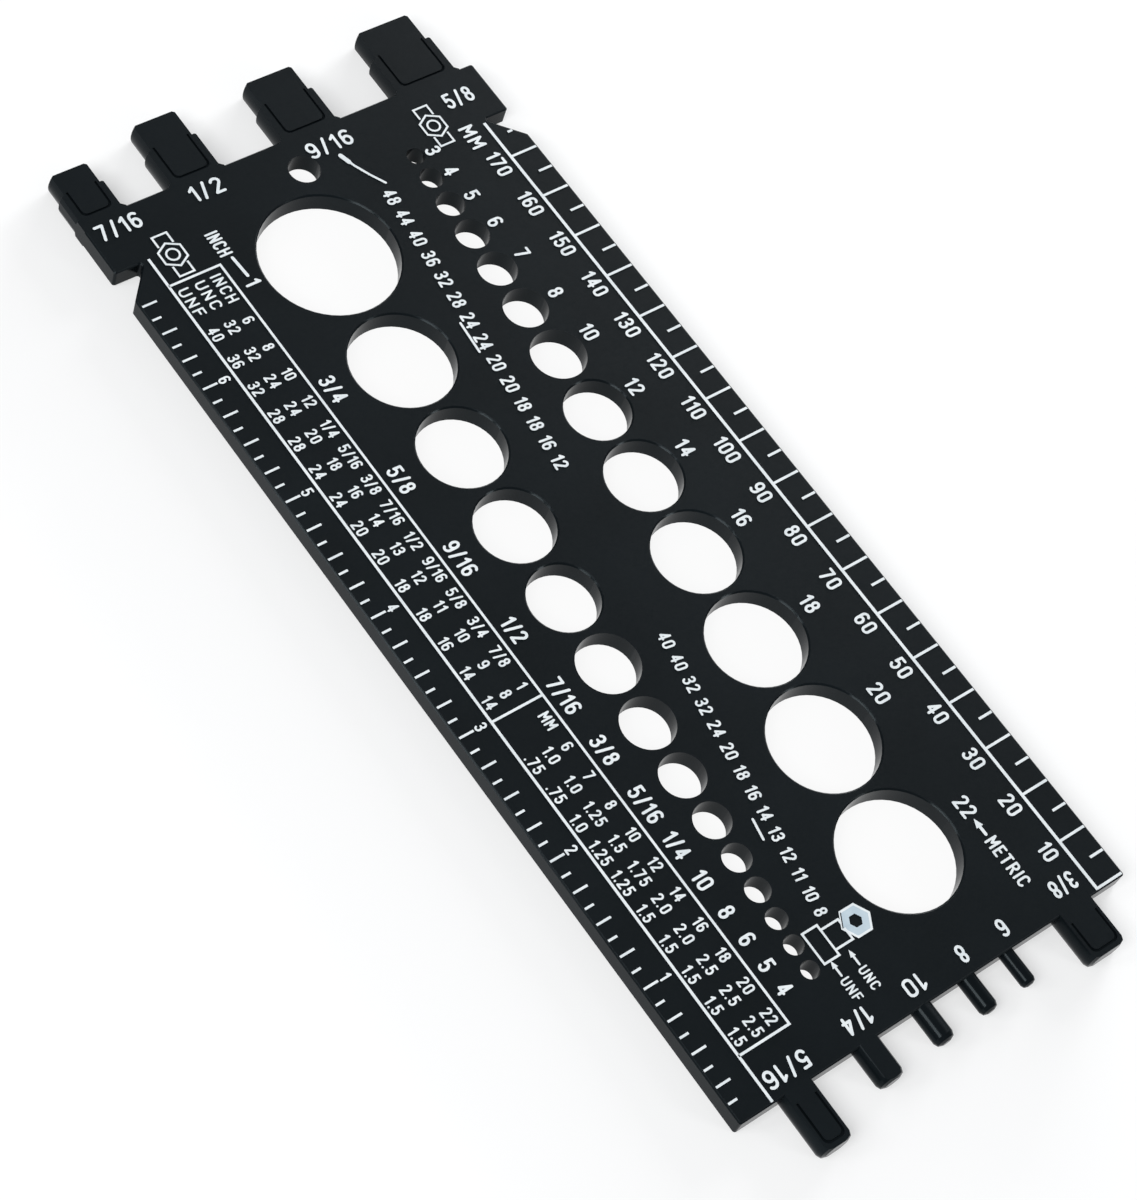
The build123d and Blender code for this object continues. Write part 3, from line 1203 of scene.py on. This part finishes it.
@dataclass
class Floor:
    """A pale floor, nearly white to the camera and to gloss, that keeps the plate's shadow round the
    plate and has painted light under its holes.

    Attributes:
        size: its side in metres.
        gap: from the plate down to it, so that the two never share a face.
        colour, roughness, specular: its own surface.
        glow: the share of plain white that is seen in it round the plate.
        table_glow: that share under the plate's holes, a patch of painted light that cancels
            the plate's shadow seen through them.
        table_side, table_end: from the plate's sides and ends to the painted light
            patch's, so that it lies under the holes alone.
        near, far: the distances from the plate's middle between which it turns plain white, like a
            backdrop.
    """

    size: float = 6.0
    gap: float = 0.00002
    colour: Colour = (0.94, 0.945, 0.95)
    roughness: float = 0.8
    specular: float = 0.2
    glow: float = 0.52
    table_glow: float = 0.90
    table_side: float = 0.012
    table_end: float = 0.002
    near: float = 0.35
    far: float = 1.2

    def build(self) -> None:
        """Build the floor, just below the plate."""
        half = self.size / 2
        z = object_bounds()[0][2] - self.gap
        corners = [(-half, -half, z), (half, -half, z), (half, half, z), (-half, half, z)]
        mesh = bpy.data.meshes.new("floor")
        mesh.from_pydata(corners, [], [(0, 1, 2, 3)])
        floor = bpy.data.objects.new("floor", mesh)
        bpy.context.scene.collection.objects.link(floor)
        floor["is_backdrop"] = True
        mesh.materials.append(self._finish())

    def _finish(self) -> bpy.types.Material:
        """Mix plain white into the floor's own surface, for the rays that should see it.

        Returns:
            The material.
        """
        material = bpy.data.materials.new("pale_floor")
        material.use_nodes = True
        tree = material.node_tree
        nodes, links = tree.nodes, tree.links
        shader = nodes["Principled BSDF"]
        shader.inputs["Base Color"].default_value = (*self.colour, 1)
        shader.inputs["Roughness"].default_value = self.roughness
        shader.inputs["Specular IOR Level"].default_value = self.specular
        white = nodes.new("ShaderNodeEmission")
        mix = nodes.new("ShaderNodeMixShader")
        links.new(calculate(tree, "MULTIPLY", self._seen(tree), self._glow(tree)), mix.inputs["Fac"])
        links.new(shader.outputs["BSDF"], mix.inputs[1])
        links.new(white.outputs["Emission"], mix.inputs[2])
        links.new(mix.outputs["Shader"], nodes["Material Output"].inputs["Surface"])
        return material

    def _glow(self, tree: Tree) -> Socket:
        """The share of plain white at each place on the floor.

        Args:
            tree: the floor's nodes.

        Returns:
            The socket that gives it.
        """
        place = tree.nodes.new("ShaderNodeTexCoord").outputs["Object"]
        distance = tree.nodes.new("ShaderNodeVectorMath")
        distance.operation = "LENGTH"
        tree.links.new(place, distance.inputs[0])
        around = map_range(tree, distance.outputs["Value"], (self.near, self.far), (self.glow, 1.0))
        # Painted light: under the plate's holes more plain white is mixed into the floor, which cancels
        # the plate's shadow seen through them.
        return blend(tree, self._under_plate(tree, place), around, self.table_glow)

    def _under_plate(self, tree: Tree, place: Socket) -> Socket:
        """Tell the patch of painted light under the plate's holes, without its posts, from the rest.

        Args:
            tree: the floor's nodes.
            place: the point on the floor.

        Returns:
            A socket that is 1 on the patch of painted light and 0 off it.
        """
        low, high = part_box(PLATE)
        first = low.y + PrintFrame.LOW_POSTS * MM + self.table_end
        last = high.y - PrintFrame.HIGH_POSTS * MM - self.table_end
        spans = {"X": (low.x + self.table_side, high.x - self.table_side), "Y": (first, last)}
        parts = tree.nodes.new("ShaderNodeSeparateXYZ")
        tree.links.new(place, parts.inputs["Vector"])
        within = [
            calculate(tree, "COMPARE", parts.outputs[axis], (start + end) / 2, (end - start) / 2)
            for axis, (start, end) in spans.items()
        ]
        return calculate(tree, "MULTIPLY", *within)

    @staticmethod
    def _seen(tree: Tree) -> Socket:
        """Tell rays of the camera, of gloss and through glass from others.

        Args:
            tree: the floor's nodes.

        Returns:
            A socket that is 1 for those rays and 0 for others.
        """
        ray = tree.nodes.new("ShaderNodeLightPath").outputs
        direct = calculate(tree, "MAXIMUM", ray["Is Camera Ray"], ray["Is Glossy Ray"])
        return calculate(tree, "MAXIMUM", direct, ray["Is Transmission Ray"])


@dataclass
class World:
    """Soft even light from all round, plain white to the camera."""

    colour: Colour = (0.95, 0.98, 1.0)
    strength: float = 0.27

    def build(self) -> None:
        """Build the world and put it in the scene."""
        world = bpy.data.worlds.new("studio_world")
        bpy.context.scene.world = world
        world.use_nodes = True
        nodes, links = world.node_tree.nodes, world.node_tree.links
        back = nodes["Background"]
        back.inputs["Color"].default_value = (*self.colour, 1)
        back.inputs["Strength"].default_value = self.strength
        white = nodes.new("ShaderNodeBackground")
        white.inputs["Color"].default_value = (1, 1, 1, 1)
        mix = nodes.new("ShaderNodeMixShader")
        ray = nodes.new("ShaderNodeLightPath")
        links.new(ray.outputs["Is Camera Ray"], mix.inputs["Fac"])
        links.new(back.outputs["Background"], mix.inputs[1])
        links.new(white.outputs["Background"], mix.inputs[2])
        links.new(mix.outputs["Shader"], nodes["World Output"].inputs["Surface"])


@dataclass(frozen=True)
class Lamp:
    """A soft lamp that points at the plate's middle.

    Attributes:
        name: its name.
        place: its middle, in metres.
        width, height: its sides in metres.
        power: in watts.
    """

    name: str
    place: Place
    width: float
    height: float
    power: float

    def build(self) -> None:
        """Build the lamp."""
        light = bpy.data.lights.new(self.name, "AREA")
        light.shape = "RECTANGLE"
        light.size = self.width
        light.size_y = self.height
        light.energy = self.power
        lamp = bpy.data.objects.new(self.name, light)
        turn = Vector(self.place).to_track_quat("Z", "Y").to_matrix().to_4x4()
        lamp.matrix_world = Matrix.Translation(self.place) @ turn
        bpy.context.scene.collection.objects.link(lamp)


@dataclass
class Camera:
    """The camera at the photograph's viewing angle, with no shift and no depth of field.

    Attributes:
        aim: the point that it stands round, in metres.
        distance: from there to the camera.
        azimuth, elevation: where it stands, in degrees.
        roll: how far it is turned about its own line of sight, in degrees.
        lens, sensor: in millimetres.
    """

    aim: Place = (-0.010551, -0.008937, 0.0039)
    distance: float = 0.506218
    azimuth: float = -57.958
    elevation: float = 56.011
    roll: float = 25.261
    lens: float = 90.603
    sensor: float = 36.0

    def build(self) -> None:
        """Build the camera and make it the scene's."""
        data = bpy.data.cameras.new("camera")
        data.lens = self.lens
        data.sensor_width = self.sensor
        camera = bpy.data.objects.new("camera", data)
        turn = Matrix.Rotation(math.radians(self.azimuth), 4, "Z")
        tilt = Matrix.Rotation(math.radians(90 - self.elevation), 4, "X")
        spin = Matrix.Rotation(math.radians(self.roll), 4, "Z")
        back = Matrix.Translation((0, 0, self.distance))
        camera.matrix_world = Matrix.Translation(self.aim) @ turn @ tilt @ spin @ back
        bpy.context.scene.collection.objects.link(camera)
        bpy.context.scene.camera = camera


@dataclass
class Studio:
    """The floor, the world, the lamps and the camera."""

    floor: Floor = field(default_factory=Floor)
    world: World = field(default_factory=World)
    lamps: tuple[Lamp, ...] = (
        Lamp("key_lamp", (-0.60, -0.12, 0.60), 0.40, 0.40, 4.8),
        Lamp("side_lamp", (-0.85, 0.32, 0.48), 0.25, 0.25, 1.8),
        Lamp("front_lamp", (0.48, -0.83, 0.32), 0.22, 0.22, 1.8),
        Lamp("low_lamp", (0.92, 0.30, 0.17), 0.35, 0.35, 9.0),
        Lamp("skimming_lamp", (0.80, 0.52, 0.06), 0.50, 0.08, 18.0),
    )
    camera: Camera = field(default_factory=Camera)

    def build(self) -> None:
        """Build the whole studio."""
        for part in (self.floor, self.world, *self.lamps, self.camera):
            part.build()
        bpy.context.scene.view_settings.view_transform = "Standard"


def dress_plate(plastic: bpy.types.Material) -> bpy.types.Object:
    """Give the CAD plate its moulded plastic.

    Args:
        plastic: the material.

    Returns:
        The plate.
    """
    plate = frame["nodes"][PLATE]
    plate.data.materials.clear()
    plate.data.materials.append(plastic)
    return plate


def main() -> None:
    """Build the studio, the plate's finish and the print."""
    logging.basicConfig(level=logging.INFO, format="%(message)s")
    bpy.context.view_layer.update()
    Studio().build()
    grain = FineGrain().build()
    plate = dress_plate(PLASTIC.build(grain))
    LOG.info("%s dressed in %s", plate.name, PLASTIC.name)
    ink = INK.build(grain)
    on_plate = PrintFrame.on_plate()
    groups: list[PrintGroup] = [
        InchRuler(on_plate, ink),
        MetricRuler(on_plate, ink),
        ThreadTable(on_plate, ink),
        HoleNumbers(on_plate, ink),
        PostNumbers(on_plate, ink),
        NumberRows(on_plate, ink),
        NutSign(on_plate, ink, PALE_INK.build(grain)),
        CornerMarks(on_plate, ink),
    ]
    for group in groups:
        for piece in group.build():
            LOG.info("%s: %d faces, by %s", piece.name, len(piece.data.polygons), type(group).__name__)


if __name__ == "__main__":
    main()
